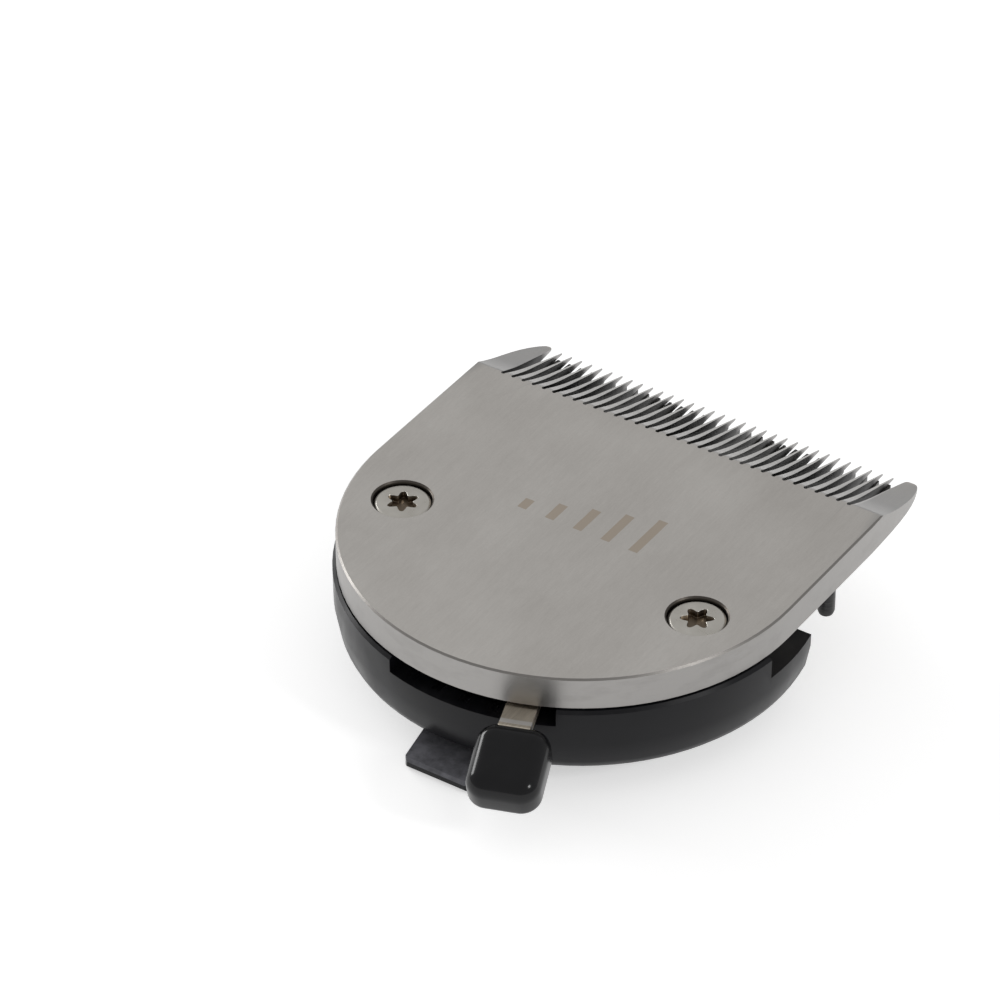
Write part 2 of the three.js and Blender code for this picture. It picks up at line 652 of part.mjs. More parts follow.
function carrier() {
  const cup = cut(carrierCup(), [
    box(-30, 30, DISC_FRONT_Y, 30, -12, 5),
    box(19, 30, NOTCH_Y, 30, NOTCH_FLOOR, 5),
    box(-30, -19, NOTCH_Y, 30, NOTCH_FLOOR, 5),
    ringSector(19, 25, SLOT_LEFT, SLOT_RIGHT, SLOT_FLOOR, 5),
    ...Array.from({ length: DETENTS }, (_, step) => detentGroove(step)),
  ]);
  const pivotBoss = post(0, 0, 2.9, FLOOR_TOP - 0.1, -3.6, 32);
  const whole = joined([cup, pivotBoss, carrierSide(-1), carrierSide(1)]);
  return cut(whole, [
    post(0, 0, 1 + FIT, -6.1, 0, 24),
    post(-SCREW_X, SCREW_Y, 2 + FIT, -5.75, 1, 24),
    post(SCREW_X, SCREW_Y, 2 + FIT, -5.75, 1, 24),
  ]);
}

// Rear latch: a springy tongue whose lip snaps into the clipper's head.
function latchSection() {
  const bottom = LATCH_TOP - LATCH_THICK;
  return sideProfile([
    [LATCH_TIP_Y, bottom + 0.3], [LATCH_TIP_Y + 0.3, bottom], [-13.4, bottom], [-13.1, bottom + 0.3],
    [-13.1, LATCH_HINGE_Z], [-15.2, LATCH_HINGE_Z], [-15.7, LATCH_TOP], [LATCH_TIP_Y + 0.3, LATCH_TOP],
    [LATCH_TIP_Y, LATCH_TOP - 0.3],
  ], -LATCH_FLARE, LATCH_FLARE);
}

// The tongue seen from above: narrow at the hinge, flared behind it, tapering to its lip.
function latchOutline() {
  const right = [
    [LATCH_HALF_WIDTH, -13], [LATCH_HALF_WIDTH, -16.4], [LATCH_FLARE, -17.6],
    [LATCH_FLARE, -19.6], [LATCH_TIP_HALF, LATCH_TIP_Y + 0.5], [LATCH_TIP_HALF - 0.5, LATCH_TIP_Y],
  ];
  const left = right.map(([x, y]) => [-x, y]).reverse();
  return polygon([...left, ...right]);
}

function latchTongue() {
  const w = LATCH_HALF_WIDTH;
  const tongue = latchSection().intersect(prism(latchOutline(), FOOT_BOTTOM - 1, -6));
  const knuckle = crossRod(-w, w, LATCH_HINGE_Y, LATCH_HINGE_Z, 0.85, 20);
  return tongue.add(knuckle);
}

// ---- Assembly --------------------------------------------------------------------------
const bladeSet = new THREE.Group();

function place(name, manifold, finish) {
  const mesh = new THREE.Mesh(geometryOf(manifold), new THREE.MeshStandardMaterial(COLOURS[finish]));
  mesh.name = name;
  bladeSet.add(mesh);
}

place('comb_blade', combBlade(), 'steel');
place('cutter_blade', cutterBlade(), 'darkSteel');
place('drive_block', driveBlock(), 'nylon');
place('block_rivet_left', blockRivet(RIVETS[0]), 'darkSteel');
place('block_rivet_right', blockRivet(RIVETS[1]), 'darkSteel');
place('spring_pad_left', springPad(-1), 'nylon');
place('spring_pad_right', springPad(1), 'nylon');
place('cutter_sled', cutterSled(), 'plastic');
place('guide_rod', guideRod(), 'nickel');
place('cutter_spring_left', cutterSpring(-1), 'nickel');
place('cutter_spring_right', cutterSpring(1), 'nickel');
place('adjust_lever', adjustLever(), 'nickel');
place('lever_cap', leverCap(), 'vinyl');
place('cam_pin', camPin(), 'darkSteel');
place('carrier', carrier(), 'plastic');
place('latch_tongue', latchTongue(), 'plastic');
place('blade_screw_left', bladeScrew(-SCREW_X, 0), 'steel');
place('blade_screw_right', bladeScrew(SCREW_X, 30), 'steel');
place('thread_insert_left', threadInsert(-SCREW_X), 'brass');
place('thread_insert_right', threadInsert(SCREW_X), 'brass');
place('pivot_pin', pivotPin(), 'darkSteel');
place('pivot_washer', pivotWasher(), 'nickel');
place('locating_pin_left', locatingPin(-PIN_X), 'darkSteel');
place('locating_pin_right', locatingPin(PIN_X), 'darkSteel');

const extent = new THREE.Box3().setFromObject(bladeSet);
const middle = extent.getCenter(new THREE.Vector3());
bladeSet.position.set(0, -middle.y, -extent.min.z);

export default bladeSet;
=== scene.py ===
"""Looks of the detachable clipper blade set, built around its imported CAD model.

Metres, +Z up, +Y towards the teeth. Every place comes from the frame; the named sizes below are
the finer ones that only the visible surfaces need.
"""
import math

import bmesh
import bpy
from mathutils import Matrix, Vector


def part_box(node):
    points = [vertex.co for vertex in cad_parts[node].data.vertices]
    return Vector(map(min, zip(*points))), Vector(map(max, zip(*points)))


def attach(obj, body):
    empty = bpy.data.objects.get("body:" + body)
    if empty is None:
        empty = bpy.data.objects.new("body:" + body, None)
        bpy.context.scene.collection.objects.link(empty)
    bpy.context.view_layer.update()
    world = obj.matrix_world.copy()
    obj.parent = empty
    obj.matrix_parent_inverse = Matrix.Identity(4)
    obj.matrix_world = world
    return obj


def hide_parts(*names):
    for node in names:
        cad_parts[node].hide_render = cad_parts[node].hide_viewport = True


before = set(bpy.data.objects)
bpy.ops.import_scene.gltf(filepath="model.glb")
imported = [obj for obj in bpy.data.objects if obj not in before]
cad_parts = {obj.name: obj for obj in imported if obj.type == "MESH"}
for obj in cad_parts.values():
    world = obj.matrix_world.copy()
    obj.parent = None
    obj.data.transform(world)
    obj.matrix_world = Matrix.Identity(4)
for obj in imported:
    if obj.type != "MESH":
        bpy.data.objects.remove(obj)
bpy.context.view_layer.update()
MM = 0.001


def middle(node):
    """Centre of a CAD node's box."""
    low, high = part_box(node)
    return (low + high) / 2


PIVOT = middle("pivot_pin")
COMB_LOW, COMB_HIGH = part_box("comb_blade")
SCREWS = {side: middle("blade_screw_" + side) for side in ("left", "right")}

# The comb's teeth, from the slot roots forward.
TOOTH_ROOT_Y = COMB_HIGH.y - 10.35 * MM
# Painted shade on the teeth turns to painted highlight from the roots to TOOTH_DARK_Y on the ridges, and
# from TOOTH_DARK_Y to TOOTH_TIP_Y on the flanks.
TOOTH_DARK_Y = COMB_HIGH.y - 2.4 * MM
TOOTH_TIP_Y = COMB_HIGH.y - 1.1 * MM
TOOTH_ROW_HALF = 20.6 * MM

# Adjusting lever: its cap starts at the bend and slopes down away from the pivot.
LEVER_HEADING = math.radians(19.5)
BEND_RADIUS = 25.9 * MM
BEND_ANGLE = math.radians(20)
CAP_HALF_WIDTH = 3.51 * MM
CAP_SHIFT = 0.2 * MM
CAP_NEAR = -0.04 * MM
CAP_FAR = -7.78 * MM
CAP_TOP = -0.02 * MM
CAP_UNDER = -4.16 * MM
CAP_RISE = 0.55 * MM
CAP_TOP_ROUND = 1.7 * MM
CAP_UNDER_ROUND = 0.9 * MM
CAP_CORNER = 1.95 * MM
CAP_CROWN = 0.1 * MM
CAP_CORNER_STEPS = 12
CAP_ROUND_STEPS = 10
CAP_FACE_STEPS = 8
CAP_SHARP_ANGLE = math.radians(50)

# Pocket in the cap for the lever's strip.
STRIP_WIDTH = 3 * MM
STRIP_THICK = 0.9 * MM
STRIP_DEPTH = 0.8 * MM
POCKET_LENGTH = 12 * MM
POCKET_Y = -0.3 * MM
POCKET_CLEARANCE = 0.06 * MM

# Wire springs on the guide rod. The legs are given from the rod.
WIRE_RADIUS = 0.3 * MM
COIL_RADIUS = 1.38 * MM
COIL_TURNS = 3
COIL_SPAN = 2.1 * MM
TURN_STEPS = 28
LEG_STEPS = 8
REAR_LEG_END = 5.6 * MM
REAR_LEG_START = 1.6 * MM
REAR_LEG_RISE = 0.88 * MM
FRONT_LEG_END = 6.8 * MM

# Etched row of bars on the comb, one for each lever position. BAR_SHARE is a bar's share of the pitch.
BARS = 5
BAR_PITCH = 3.1 * MM
BAR_SHARE = 0.3
BAR_SHORTEST = 1.6 * MM
BAR_STEP = 1.0 * MM
BAR_FOOT_Y = PIVOT.y - 0.5 * MM

# Clean-up and rounding of the CAD nodes' edges.
WELD_GAP = 0.0005 * MM
FLAT_ANGLE = math.radians(0.3)
FACET_ANGLE = math.radians(28)

# Camera: direction from the object, then distance and side steps from the middle of the screws.
AZIMUTH = math.radians(33.303)
ELEVATION = math.radians(36.761)
CAMERA_DISTANCE = 496.99 * MM
CAMERA_RIGHT = -4.463 * MM
CAMERA_UP = 5.289 * MM
LENS = 191.44
SENSOR_WIDTH = 36

# Light. Each softbox has its direction, distance, width and height in metres, and watts.
WORLD_LEVEL = 0.5
PAPER_GLOW = 0.52
FLOOR_HALF = 3.0
SOFTBOXES = {
    "left_softbox": ((-0.93, 0.15, 0.34), 0.9, (0.6, 0.24), 3.4),
    "right_softbox": ((0.8, -0.05, 0.57), 0.9, (0.15, 0.15), 1.3),
}


# ---- Camera, light and floor -------------------------------------------------------------
def camera_axes():
    """Right, up and back directions of the camera."""
    sa, ca = math.sin(AZIMUTH), math.cos(AZIMUTH)
    se, ce = math.sin(ELEVATION), math.cos(ELEVATION)
    return Vector((ca, sa, 0)), Vector((-sa * se, ca * se, ce)), Vector((sa * ce, -ca * ce, se))


def add_camera():
    """Camera at its angle to the blade set, aimed from the middle of the two screws."""
    right, up, back = camera_axes()
    aim = (SCREWS["left"] + SCREWS["right"]) / 2
    aim.z = COMB_HIGH.z
    data = bpy.data.cameras.new("camera")
    data.lens = LENS
    data.sensor_width = SENSOR_WIDTH
    data.clip_start = 0.01
    camera = bpy.data.objects.new("camera", data)
    camera.location = aim + back * CAMERA_DISTANCE + right * CAMERA_RIGHT + up * CAMERA_UP
    camera.rotation_mode = "QUATERNION"
    camera.rotation_quaternion = (-back).to_track_quat("-Z", "Y")
    bpy.context.scene.collection.objects.link(camera)
    bpy.context.scene.camera = camera


def add_softbox(name, direction, distance, size, watts):
    """A rectangular area light that looks at the object from a direction."""
    data = bpy.data.lights.new(name, "AREA")
    data.shape = "RECTANGLE"
    data.size, data.size_y = size
    data.energy = watts
    lamp = bpy.data.objects.new(name, data)
    away = Vector(direction).normalized()
    lamp.location = away * distance
    lamp.rotation_mode = "QUATERNION"
    lamp.rotation_quaternion = away.to_track_quat("Z", "Y")
    bpy.context.scene.collection.objects.link(lamp)


def add_world():
    """Even white light from all round."""
    world = bpy.data.worlds.new("studio")
    world.use_nodes = True
    background = world.node_tree.nodes["Background"]
    background.inputs["Color"].default_value = (1, 1, 1, 1)
    background.inputs["Strength"].default_value = WORLD_LEVEL
    bpy.context.scene.world = world


def add_floor():
    """White backlit paper, so that the shadow on it stays light."""
    half = FLOOR_HALF
    data = bpy.data.meshes.new("floor")
    corners = [(-half, -half, 0), (half, -half, 0), (half, half, 0), (-half, half, 0)]
    data.from_pydata(corners, [], [(0, 1, 2, 3)])
    floor = bpy.data.objects.new("floor", data)
    bpy.context.scene.collection.objects.link(floor)
    paper = bpy.data.materials.new("paper")
    paper.use_nodes = True
    shader = paper.node_tree.nodes["Principled BSDF"]
    shader.inputs["Base Color"].default_value = (0.86, 0.86, 0.86, 1)
    shader.inputs["Roughness"].default_value = 0.9
    shader.inputs["Specular IOR Level"].default_value = 0.1
    shader.inputs["Emission Color"].default_value = (1, 1, 1, 1)
    shader.inputs["Emission Strength"].default_value = PAPER_GLOW
    data.materials.append(paper)


# ---- Procedural surfaces -----------------------------------------------------------------
class Surface:
    """A node material being built: one Principled shader fed from the part's own coordinates."""

    def __init__(self, name, metallic, roughness, specular=0.5):
        self.material = bpy.data.materials.new(name)
        self.material.use_nodes = True
        self.tree = self.material.node_tree
        self.shader = self.tree.nodes["Principled BSDF"]
        self.shader.inputs["Metallic"].default_value = metallic
        self.shader.inputs["Roughness"].default_value = roughness
        self.shader.inputs["Specular IOR Level"].default_value = specular
        self.place = self.node("ShaderNodeTexCoord").outputs["Object"]
        self.normal = self.node("ShaderNodeNewGeometry").outputs["Normal"]
        self.bump = None

    def node(self, kind, **settings):
        """A new node with its settings."""
        made = self.tree.nodes.new(kind)
        for key, value in settings.items():
            setattr(made, key, value)
        return made

    def feed(self, socket, value):
        """Links an output to a socket, or sets the socket to a constant."""
        if isinstance(value, bpy.types.NodeSocket):
            self.tree.links.new(value, socket)
        else:
            socket.default_value = value

    def math(self, operation, a, b=0.0):
        made = self.node("ShaderNodeMath", operation=operation)
        self.feed(made.inputs[0], a)
        self.feed(made.inputs[1], b)
        return made.outputs[0]

    def product(self, *values):
        whole = values[0]
        for value in values[1:]:
            whole = self.math("MULTIPLY", whole, value)
        return whole

    def step(self, value, low, high, to_low=0.0, to_high=1.0):
        """Value mapped from low..high to to_low..to_high, held at both ends."""
        made = self.node("ShaderNodeMapRange", clamp=True)
        self.feed(made.inputs["Value"], value)
        for key, number in (("From Min", low), ("From Max", high), ("To Min", to_low), ("To Max", to_high)):
            self.feed(made.inputs[key], number)
        return made.outputs["Result"]

    def within(self, value, low, high, soft):
        """1 between low and high, falling to 0 over a soft edge outside."""
        rise = self.step(value, low - soft, low)
        fall = self.step(value, high, high + soft, 1.0, 0.0)
        return self.product(rise, fall)

    def node_with(self, value, kind):
        """A new node whose first input is fed."""
        made = self.node(kind)
        self.tree.links.new(value, made.inputs[0])
        return made

    def split(self, vector):
        """The X, Y and Z of a vector."""
        return self.node_with(vector, "ShaderNodeSeparateXYZ").outputs

    def noise(self, per_metre, detail=3.0, roughness=0.5):
        """Noise whose grain runs at the given number of features per metre along X, Y and Z."""
        mapped = self.node_with(self.place, "ShaderNodeMapping")
        mapped.inputs["Scale"].default_value = per_metre
        made = self.node_with(mapped.outputs[0], "ShaderNodeTexNoise")
        made.inputs["Scale"].default_value = 1.0
        made.inputs["Detail"].default_value = detail
        made.inputs["Roughness"].default_value = roughness
        return made.outputs["Fac"]

    def radius_from(self, centre):
        """Distance from an upright axis through a point."""
        x, y, _ = self.split(self.place)
        dx = self.math("SUBTRACT", x, centre.x)
        dy = self.math("SUBTRACT", y, centre.y)
        square = self.math("ADD", self.product(dx, dx), self.product(dy, dy))
        return self.math("SQRT", square)

    def turning_marks(self, centre, pitch):
        """Fine concentric tool marks about an upright axis."""
        rings = self.math("SINE", self.math("MULTIPLY", self.radius_from(centre), 2 * math.pi / pitch))
        return self.step(rings, -1.0, 1.0)

    def blend(self, factor, a, b):
        """Colour a where the factor is 0, and colour b where it is 1."""
        made = self.node("ShaderNodeMix", data_type="RGBA")
        self.feed(made.inputs["Factor"], factor)
        colours = [socket for socket in made.inputs if socket.type == "RGBA"]
        for socket, value in zip(colours, (a, b)):
            self.feed(socket, value if isinstance(value, bpy.types.NodeSocket) else (*value, 1.0))
        return [socket for socket in made.outputs if socket.type == "RGBA"][0]

    def colour(self, value):
        self.feed(self.shader.inputs["Base Color"], value)

    def roughness(self, value):
        self.feed(self.shader.inputs["Roughness"], value)

    def relief(self, height, depth, strength):
        """Adds a bump of the given depth in metres, on top of those added before."""
        made = self.node("ShaderNodeBump")
        made.inputs["Strength"].default_value = strength
        made.inputs["Distance"].default_value = depth
        self.feed(made.inputs["Height"], height)
        if self.bump is not None:
            self.tree.links.new(self.bump, made.inputs["Normal"])
        self.bump = made.outputs["Normal"]
        self.feed(self.shader.inputs["Normal"], self.bump)


def etched_bars(s):
    """Mask of the row of bars of growing height on the comb's flat top."""
    x, y, z = s.split(s.place)
    wander = s.step(s.noise((9000, 9000, 0), 2.0), 0.3, 0.7, -0.02 * MM, 0.02 * MM)
    start = -BARS * BAR_PITCH / 2
    along = s.math("DIVIDE", s.math("SUBTRACT", s.math("ADD", x, wander), start), BAR_PITCH)
    index = s.math("FLOOR", along)
    share = s.math("FRACT", along)
    bar = s.within(share, (1 - BAR_SHARE) / 2, (1 + BAR_SHARE) / 2, 0.012)
    row = s.within(index, 0, BARS - 1, 0.4)
    height = s.math("ADD", s.math("MULTIPLY", index, BAR_STEP), BAR_SHORTEST)
    rise = s.math("SUBTRACT", s.math("ADD", y, wander), BAR_FOOT_Y)
    above = s.step(rise, 0, 0.03 * MM)
    below = s.step(s.math("SUBTRACT", rise, height), -0.03 * MM, 0, 1.0, 0.0)
    on_top = s.step(z, COMB_HIGH.z - 0.05 * MM, COMB_HIGH.z - 0.02 * MM)
    return s.product(bar, row, above, below, on_top)


def past_roots(s):
    """Mask of the tooth row's length, from the slot roots forward."""
    y = s.split(s.place)[1]
    return s.step(y, TOOTH_ROOT_Y, TOOTH_ROOT_Y + 0.1 * MM)


def comb_top(s, grain):
    """Colour of the flat top and of the ground bevel, whose tooth ridges carry painted shade near the roots
    that turns to a painted highlight towards the tips.
    """
    clouds = s.noise((110, 90, 120), 3.0, 0.5)
    tone = s.step(s.math("ADD", s.product(grain, 0.6), s.product(clouds, 0.4)), 0.35, 0.65)
    face = s.blend(tone, (0.575, 0.548, 0.515), (0.715, 0.69, 0.655))
    ground = s.blend(tone, (0.36, 0.355, 0.35), (0.45, 0.442, 0.435))
    x, y, _ = s.split(s.place)
    in_row = s.step(s.math("ABSOLUTE", x), TOOTH_ROW_HALF - 0.8 * MM, TOOTH_ROW_HALF - 0.6 * MM, 1.0, 0.0)
    ridges = s.product(in_row, past_roots(s))
    # Painted shade on the ridges near the slot roots, turning to a painted highlight towards the tips.
    ridge_shade_and_highlight = s.blend(s.step(y, TOOTH_ROOT_Y, TOOTH_DARK_Y), (0.46, 0.45, 0.44), (0.74, 0.73, 0.71))
    bevel = s.step(s.split(s.normal)[1], 0.16, 0.3)
    return s.blend(bevel, face, s.blend(ridges, ground, ridge_shade_and_highlight))


def comb_sides(s, steel):
    """Adds painted shade with faint stains to the upright sides, and a painted shade line on the broken
    edge, to the comb's colour.
    """
    _, along, up = s.split(s.normal)
    lift = s.math("ABSOLUTE", up)
    # Painted shade on the upright sides, with faint stains in it.
    stains = s.step(s.noise((230, 230, 700), 4.0, 0.6), 0.5, 0.72)
    side = s.blend(stains, (0.33, 0.32, 0.31), (0.295, 0.286, 0.276))
    steel = s.blend(s.step(lift, 0.2, 0.5, 1.0, 0.0), steel, side)
    # Painted shade on the broken edge.
    edge = s.within(lift, 0.55, 0.85, 0.08)
    return s.blend(s.product(edge, s.step(along, 0.0, 0.15, 0.85, 0.0)), steel, (0.20, 0.19, 0.18))


def comb_hollows(s, steel):
    """Paints shade on the walls of the screw recesses and on the flanks between the teeth, with a painted
    reflection near the tips.
    """
    lift = s.math("ABSOLUTE", s.split(s.normal)[2])
    near_screw = s.math("MINIMUM", s.radius_from(SCREWS["left"]), s.radius_from(SCREWS["right"]))
    # Painted shade on the walls round the screw recesses.
    recess_shade = s.product(s.step(near_screw, 3.1 * MM, 3.3 * MM, 1.0, 0.0), s.step(lift, 0.9, 0.98, 1.0, 0.0))
    steel = s.blend(recess_shade, steel, (0.09, 0.08, 0.07))
    x, y, _ = s.split(s.place)
    inside = s.step(s.math("ABSOLUTE", x), TOOTH_ROW_HALF, TOOTH_ROW_HALF + 0.1 * MM, 1.0, 0.0)
    flank = s.product(s.step(lift, 0.3, 0.5, 1.0, 0.0), inside, past_roots(s))
    # Painted shade on the tooth flanks, lightening to a painted reflection near the tips.
    shade = s.blend(s.step(y, TOOTH_DARK_Y, TOOTH_TIP_Y), (0.045, 0.044, 0.043), (0.34, 0.33, 0.325))
    return s.blend(flank, steel, shade)


def comb_steel():
    """Ground stainless steel: fine faint grain on top, painted shade on the upright sides, broken edges,
    screw recesses and tooth flanks, and painted highlights on the tooth ridges.
    """
    s = Surface("comb_steel", 1.0, 0.36)
    streaks = s.noise((14000, 700, 700), 4.0, 0.6)
    wide_streaks = s.noise((2600, 150, 150), 3.0, 0.55)
    specks = s.noise((6500, 4000, 5000), 3.0, 0.6)
    grain = s.math("ADD", s.product(streaks, 0.45), s.product(specks, 0.3))
    grain = s.math("ADD", grain, s.product(wide_streaks, 0.25))
    steel = comb_hollows(s, comb_sides(s, comb_top(s, grain)))
    mark = etched_bars(s)
    s.colour(s.blend(s.product(mark, 0.8), steel, (0.47, 0.395, 0.315)))
    worn = s.step(grain, 0.3, 0.7, 0.32, 0.42)
    s.roughness(s.math("ADD", worn, s.product(mark, 0.12)))
    s.relief(streaks, 0.004 * MM, 0.5)
    s.relief(specks, 0.004 * MM, 0.5)
    return s.material


def cutter_steel():
    """Hardened steel, darker than the comb, with the same fine grain."""
    s = Surface("cutter_steel", 1.0, 0.42)
    streaks = s.noise((14000, 500, 500), 4.0, 0.6)
    clouds = s.noise((200, 200, 200), 3.0)
    tone = s.step(s.math("ADD", s.product(streaks, 0.6), s.product(clouds, 0.4)), 0.35, 0.65)
    s.colour(s.blend(tone, (0.085, 0.083, 0.082), (0.15, 0.148, 0.145)))
    s.roughness(s.step(clouds, 0.3, 0.7, 0.36, 0.5))
    s.relief(streaks, 0.004 * MM, 0.5)
    return s.material


def bright_steel():
    """Nickelled spring steel, scratched along its length, with a painted highlight along the lever's bend.
    """
    s = Surface("bright_steel", 1.0, 0.3)
    scratches = s.noise((7000, 500, 3000), 5.0, 0.65)
    clouds = s.noise((400, 400, 400), 3.0)
    tone = s.math("ADD", s.product(scratches, 0.6), s.product(clouds, 0.4))
    worn = s.blend(s.step(tone, 0.38, 0.62), (0.64, 0.575, 0.475), (0.86, 0.78, 0.66))
    # Painted highlight along the lever's bend.
    bend = s.within(s.radius_from(PIVOT), BEND_RADIUS - 0.75 * MM, BEND_RADIUS - 0.3 * MM, 0.12 * MM)
    s.colour(s.blend(bend, worn, (0.98, 0.96, 0.92)))
    s.roughness(s.step(clouds, 0.3, 0.7, 0.26, 0.4))
    s.relief(scratches, 0.004 * MM, 0.3)
    return s.material


def screw_steel(side):
    """Plated screw head: a smooth turned face round a six-lobed socket with painted shade in it."""
    s = Surface("screw_steel_" + side, 1.0, 0.3)
    centre = SCREWS[side]
    marks = s.turning_marks(centre, 0.14 * MM)
    clouds = s.noise((500, 500, 500), 3.0, 0.5)
    z = s.split(s.place)[2]
    head_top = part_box("blade_screw_" + side)[1].z
    # Painted shade inside the socket, below the head's face.
    socket_shade = s.step(z, head_top - 0.5 * MM, head_top - 0.12 * MM, 1.0, 0.0)
    plated = s.blend(s.step(clouds, 0.35, 0.65), (0.60, 0.575, 0.525), (0.67, 0.645, 0.595))
    s.colour(s.blend(socket_shade, plated, (0.17, 0.135, 0.10)))
    s.roughness(s.step(clouds, 0.3, 0.7, 0.26, 0.34))
    s.relief(marks, 0.0015 * MM, 0.25)
    return s.material


def turned_metal(name, dark, light, roughness):
    """Turned pins, rivets and inserts: mottled tone with rings along their length."""
    s = Surface(name, 1.0, roughness)
    specks = s.noise((900, 900, 5000), 3.0, 0.5)
    rings = s.noise((200, 200, 12000), 2.0, 0.5)
    s.colour(s.blend(s.step(specks, 0.35, 0.65), dark, light))
    s.roughness(s.step(specks, 0.3, 0.7, roughness - 0.06, roughness + 0.1))
    s.relief(rings, 0.003 * MM, 0.3)
    return s.material


def black_plastic(name, dark, light, painted_sheen, cover):
    """Satin moulded plastic, with a painted grey sheen on upper faces over a share of the noise, and a few
    flecks.
    """
    s = Surface(name, 0.0, 0.34, 0.2)
    grain = s.noise((9000, 9000, 9000), 2.0, 0.5)
    waves = s.noise((260, 260, 260), 3.0, 0.5)
    patches = s.step(s.noise((420, 420, 420), 4.0, 0.65), *cover)
    upper = s.step(s.split(s.normal)[2], 0.2, 0.8)
    dust = s.step(s.noise((1500, 1500, 1500), 6.0, 0.75), 0.68, 0.75)
    body = s.blend(s.step(waves, 0.3, 0.7), dark, light)
    # Painted sheen on upper faces, over a share of the noise.
    body = s.blend(s.product(patches, upper), body, painted_sheen)
    s.colour(s.blend(s.product(dust, 0.22), body, (0.12, 0.12, 0.12)))
    s.roughness(s.step(waves, 0.3, 0.7, 0.28, 0.4))
    s.relief(grain, 0.005 * MM, 0.3)
    s.relief(waves, 0.015 * MM, 0.2)
    return s.material


def black_vinyl():
    """Glossy dipped cap with a faint orange peel."""
    s = Surface("black_vinyl", 0.0, 0.16, 0.3)
    peel = s.noise((700, 700, 700), 2.0, 0.4)
    haze = s.noise((300, 300, 300), 4.0, 0.6)
    s.colour(s.blend(s.step(haze, 0.3, 0.7), (0.0035, 0.0035, 0.0042), (0.0058, 0.0058, 0.0068)))
    s.roughness(s.step(haze, 0.3, 0.7, 0.13, 0.22))
    s.relief(peel, 0.012 * MM, 0.3)
    return s.material


def white_nylon():
    """Natural moulded acetal that lets a little light in."""
    s = Surface("white_nylon", 0.0, 0.42, 0.45)
    clouds = s.noise((350, 350, 350), 4.0, 0.6)
    grain = s.noise((7000, 7000, 7000), 2.0)
    s.colour(s.blend(s.step(clouds, 0.3, 0.7), (0.68, 0.655, 0.59), (0.78, 0.76, 0.70)))
    s.roughness(s.step(clouds, 0.3, 0.7, 0.36, 0.5))
    s.shader.inputs["Subsurface Weight"].default_value = 0.15
    s.shader.inputs["Subsurface Radius"].default_value = (0.8 * MM, 0.7 * MM, 0.5 * MM)
    s.relief(grain, 0.005 * MM, 0.4)
    return s.material


# ---- Finer edges on the CAD parts --------------------------------------------------------
def finish_node(name, material, edge):
    """Gives a CAD node its material, smooth round faces and small rounded edges."""
    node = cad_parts[name]
    node.data.materials.clear()
    node.data.materials.append(material)
    split_normals = node.data.attributes.get("custom_normal")
    if split_normals:
        node.data.attributes.remove(split_normals)
    node.data.polygons.foreach_set("use_smooth", [True] * len(node.data.polygons))
    weld = node.modifiers.new("weld", "WELD")
    weld.merge_threshold = WELD_GAP
    flat = node.modifiers.new("flat", "DECIMATE")
    flat.decimate_type = "DISSOLVE"
    flat.angle_limit = FLAT_ANGLE
    bevel = node.modifiers.new("edges", "BEVEL")
    bevel.width = edge
    bevel.segments = 3
    bevel.limit_method = "ANGLE"
    bevel.angle_limit = FACET_ANGLE
    bevel.harden_normals = True
    bevel.use_clamp_overlap = True
    bevel.miter_outer = "MITER_ARC"


def finish_nodes():
    """Finishes every CAD node, and returns the bright steel that the wire springs share."""
    # Each plastic's dark and light body tones, the painted sheen colour for upper faces, and the noise
    # share that the sheen covers.
    moulded = ((0.004, 0.004, 0.005), (0.006, 0.006, 0.0075), (0.012, 0.012, 0.0135), (0.45, 0.75))
    latch_sheen_tones = ((0.006, 0.006, 0.007), (0.012, 0.012, 0.0135), (0.2, 0.2, 0.22), (0.12, 0.62))
    plastic = black_plastic("black_plastic", *moulded)
    latch_plastic = black_plastic("latch_plastic", *latch_sheen_tones)
    bright = bright_steel()
    nylon = white_nylon()
    dark_pin = turned_metal("dark_pin", (0.03, 0.03, 0.032), (0.06, 0.059, 0.058), 0.34)
    brass = turned_metal("turned_brass", (0.52, 0.38, 0.15), (0.66, 0.50, 0.23), 0.3)
    finish_node("comb_blade", comb_steel(), 0.03 * MM)
    finish_node("cutter_blade", cutter_steel(), 0.04 * MM)
    finish_node("carrier", plastic, 0.16 * MM)
    finish_node("latch_tongue", latch_plastic, 0.16 * MM)
    finish_node("cutter_sled", plastic, 0.1 * MM)
    finish_node("drive_block", nylon, 0.12 * MM)
    finish_node("adjust_lever", bright, 0.08 * MM)
    finish_node("guide_rod", bright, 0.12 * MM)
    finish_node("pivot_washer", bright, 0.06 * MM)
    for name in ("cam_pin", "pivot_pin"):
        finish_node(name, dark_pin, 0.05 * MM)
    for side in ("left", "right"):
        finish_node("blade_screw_" + side, screw_steel(side), 0.05 * MM)
        finish_node("thread_insert_" + side, brass, 0.05 * MM)
        finish_node("locating_pin_" + side, dark_pin, 0.06 * MM)
        finish_node("block_rivet_" + side, dark_pin, 0.05 * MM)
        finish_node("spring_pad_" + side, nylon, 0.08 * MM)
    return bright


# ---- Pieces made here --------------------------------------------------------------------
def new_piece(name, data, material):
    """A new object in the scene from a mesh or a curve."""
    piece = bpy.data.objects.new(name, data)
    bpy.context.scene.collection.objects.link(piece)
    data.materials.append(material)
    return piece


def lever_frame():
    """Matrix from the lever's coordinates at its bend (-Y outwards, Z up from the cap) to the row."""
    to_pivot = Matrix.Translation((PIVOT.x, PIVOT.y, 0))
    turn = Matrix.Rotation(LEVER_HEADING, 4, "Z")
    outwards = Matrix.Translation((0, -BEND_RADIUS, COMB_LOW.z + CAP_RISE))
    return to_pivot @ turn @ outwards @ Matrix.Rotation(BEND_ANGLE, 4, "X")


